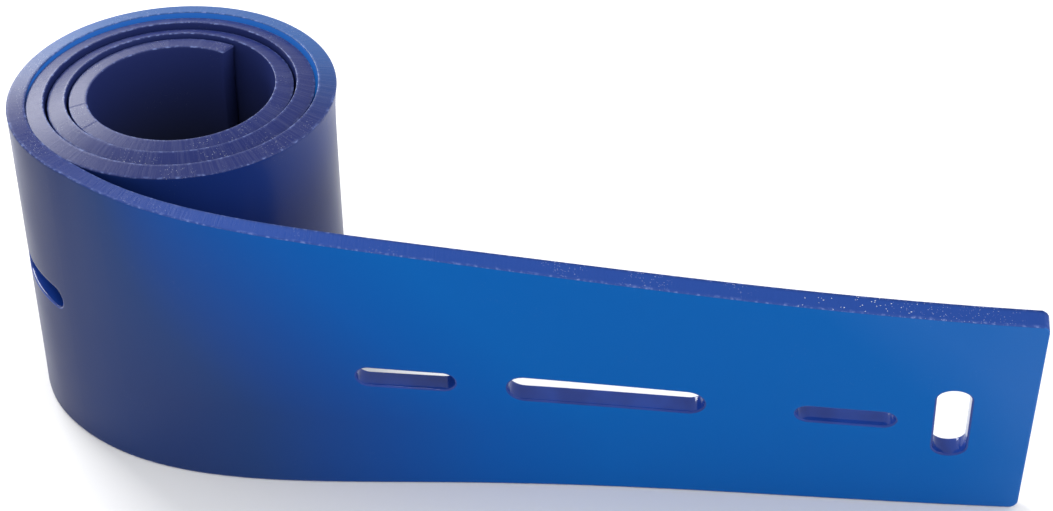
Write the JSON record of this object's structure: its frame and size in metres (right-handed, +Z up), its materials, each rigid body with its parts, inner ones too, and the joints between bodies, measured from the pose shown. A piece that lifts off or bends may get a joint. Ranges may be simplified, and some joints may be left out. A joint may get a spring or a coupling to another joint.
{
  "type": "squeegee strip",
  "caption": "Slotted blue rubber squeegee strip, partly rolled up, with a free tail that bends and springs back",
  "frame": {"origin": "middle of the assembly's base", "axes": "+Z up along the strip's height at the roll, +X from the roll towards the free end, -Y out of the tail's outer face"},
  "size_m": [0.2098, 0.1144, 0.0701],
  "materials": {
    "strip": "satin"
  },
  "bodies": {
    "roll": {"inner_turn": "strip", "second_turn": "strip", "third_turn": "strip", "outer_turn": "strip"},
    "first": {"first_stretch": "strip"},
    "second": {"second_stretch": "strip"},
    "third": {"third_stretch": "strip"},
    "near_slot": {"near_slot_stretch": "strip"},
    "long_slot": {"long_slot_stretch": "strip"},
    "far_slot": {"far_slot_stretch": "strip"},
    "end": {"end_stretch": "strip"}
  },
  "joints": [
    {"name": "bend_1", "type": "hinge", "parent": "roll", "child": "first", "pos_m": [-0.08811, -0.00704, 0], "axis": [0, 0, 1], "range_deg": [-9, 7], "stiffness_Nm_per_rad": 0.36},
    {"name": "bend_2", "type": "hinge", "parent": "first", "child": "second", "pos_m": [-0.07238, -0.01561, 0.00007], "axis": [-0.0124, -0.0354, 0.9993], "range_deg": [-9, 7], "stiffness_Nm_per_rad": 0.36},
    {"name": "bend_3", "type": "hinge", "parent": "second", "child": "third", "pos_m": [-0.05485, -0.01955, 0.00017], "axis": [-0.0115, -0.089, 0.996], "range_deg": [-9, 7], "stiffness_Nm_per_rad": 0.36},
    {"name": "bend_4", "type": "hinge", "parent": "third", "child": "near_slot", "pos_m": [-0.03691, -0.02094, 0.00028], "axis": [-0.0058, -0.1421, 0.9898], "range_deg": [-8.1, 6.3], "stiffness_Nm_per_rad": 0.27},
    {"name": "bend_5", "type": "hinge", "parent": "near_slot", "child": "long_slot", "pos_m": [-0.00553, -0.02195, 0.00043], "axis": [-0.0091, -0.2206, 0.9753], "range_deg": [-6.3, 4.9], "stiffness_Nm_per_rad": 0.16},
    {"name": "bend_6", "type": "hinge", "parent": "long_slot", "child": "far_slot", "pos_m": [0.04849, -0.02622, 0.0006], "axis": [-0.0318, -0.3042, 0.9521], "range_deg": [-7.2, 5.6], "stiffness_Nm_per_rad": 0.18},
    {"name": "bend_7", "type": "hinge", "parent": "far_slot", "child": "end", "pos_m": [0.08091, -0.02963, 0.00065], "axis": [-0.0329, -0.331, 0.943], "range_deg": [-3.6, 2.8], "stiffness_Nm_per_rad": 0.22}
  ],
  "couplings": [
    {"joint": "bend_2", "follows": "bend_1", "ratio": 1},
    {"joint": "bend_3", "follows": "bend_1", "ratio": 1},
    {"joint": "bend_4", "follows": "bend_1", "ratio": 0.9},
    {"joint": "bend_5", "follows": "bend_1", "ratio": 0.7},
    {"joint": "bend_6", "follows": "bend_1", "ratio": 0.8},
    {"joint": "bend_7", "follows": "bend_1", "ratio": 0.4}
  ]
}
